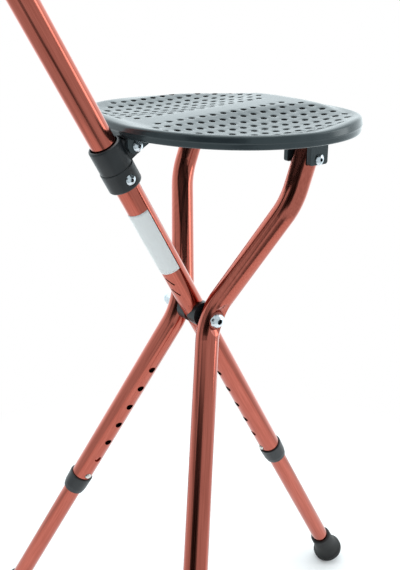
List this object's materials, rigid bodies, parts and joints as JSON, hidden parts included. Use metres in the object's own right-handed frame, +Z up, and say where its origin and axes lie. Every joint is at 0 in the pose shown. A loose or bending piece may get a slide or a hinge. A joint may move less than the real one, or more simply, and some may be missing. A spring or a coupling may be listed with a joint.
{
  "type": "walking stick seat",
  "caption": "Folding walking stick seat: a cane crossed by two bent legs at a hub bolt, carrying a dished, perforated plastic seat hinged to a collar that slides on the cane.",
  "frame": {"origin": "on the floor, in the middle of the open object's box", "axes": "+Z up, +X from the cane towards the seat, +Y along the hub bolt towards its cap nut"},
  "size_m": [0.5314, 0.384, 0.8368],
  "materials": {
    "copper_tube": "glossy copper-red anodised",
    "seat_plastic": "satin moulded",
    "collar_plastic": "satin moulded",
    "handle_plastic": "satin moulded",
    "foot_rubber": "matt",
    "zinc_steel": "bright zinc plated",
    "nickel_steel": "nickel plated"
  },
  "bodies": {
    "cane": {"main_tube": "copper_tube", "handle": "handle_plastic", "stop_collar": "collar_plastic", "stop_collar_screw": "zinc_steel", "stop_collar_nut": "zinc_steel", "hub_bolt": "zinc_steel", "hub_cap_nut": "zinc_steel", "hub_spacer_left": "collar_plastic", "hub_spacer_right": "collar_plastic", "tube_sleeve_main": "collar_plastic"},
    "side_legs": {"side_leg_left": "copper_tube", "side_leg_right": "copper_tube", "tube_sleeve_left": "collar_plastic", "tube_sleeve_right": "collar_plastic"},
    "seat_frame": {"seat": "seat_plastic", "seat_hinge_screw": "zinc_steel", "seat_hinge_nut": "zinc_steel", "bracket_screw_left": "zinc_steel", "bracket_screw_right": "zinc_steel", "bracket_nut_left": "zinc_steel", "bracket_nut_right": "zinc_steel"},
    "sliding_collar": {"slide_collar": "collar_plastic"},
    "main_extension": {"inner_tube_main": "copper_tube", "ferrule_main": "foot_rubber", "ferrule_insert_main": "zinc_steel", "button_spring_main": "nickel_steel"},
    "main_button": {"snap_button_main": "nickel_steel"},
    "left_extension": {"inner_tube_left": "copper_tube", "ferrule_left": "foot_rubber", "ferrule_insert_left": "zinc_steel", "button_spring_left": "nickel_steel"},
    "left_button": {"snap_button_left": "nickel_steel"},
    "right_extension": {"inner_tube_right": "copper_tube", "ferrule_right": "foot_rubber", "ferrule_insert_right": "zinc_steel", "button_spring_right": "nickel_steel"},
    "right_button": {"snap_button_right": "nickel_steel"}
  },
  "joints": [
    {"name": "leg_fold", "type": "hinge", "parent": "cane", "child": "side_legs", "pos_m": [0.03517, 0, 0.39659], "axis": [0, -1, 0], "range_deg": [0, 42.5]},
    {"name": "seat_fold", "type": "hinge", "parent": "side_legs", "child": "seat_frame", "pos_m": [0.0939, 0, 0.54959], "axis": [0, 1, 0], "range_deg": [0, 97.5]},
    {"name": "collar_pivot", "type": "hinge", "parent": "seat_frame", "child": "sliding_collar", "pos_m": [-0.03398, 0, 0.56319], "axis": [0, -1, 0], "range_deg": [0, 55]},
    {"name": "main_extend", "type": "slide", "parent": "cane", "child": "main_extension", "axis": [-0.4863, 0, 0.8738], "range_m": [0, 0.1524]},
    {"name": "main_press", "type": "slide", "parent": "main_extension", "child": "main_button", "axis": [0.8738, 0, 0.4863], "range_m": [0, 0.004], "stiffness_N_per_m": 1500, "springref_m": -0.002, "deforming": ["button_spring_main"]},
    {"name": "left_extend", "type": "slide", "parent": "side_legs", "child": "left_extension", "axis": [0.3355, -0.3518, 0.8739], "range_m": [0, 0.1524]},
    {"name": "left_press", "type": "slide", "parent": "left_extension", "child": "left_button", "axis": [0.1261, 0.9361, 0.3285], "range_m": [0, 0.004], "stiffness_N_per_m": 1500, "springref_m": -0.002, "deforming": ["button_spring_left"]},
    {"name": "right_extend", "type": "slide", "parent": "side_legs", "child": "right_extension", "axis": [0.3355, 0.3518, 0.8739], "range_m": [0, 0.1524]},
    {"name": "right_press", "type": "slide", "parent": "right_extension", "child": "right_button", "axis": [0.1261, -0.9361, 0.3285], "range_m": [0, 0.004], "stiffness_N_per_m": 1500, "springref_m": -0.002, "deforming": ["button_spring_right"]}
  ],
  "couplings": [
    {"joint": "seat_fold", "follows": "leg_fold", "ratio": 2.2895},
    {"joint": "collar_pivot", "follows": "leg_fold", "ratio": 1.2895}
  ]
}
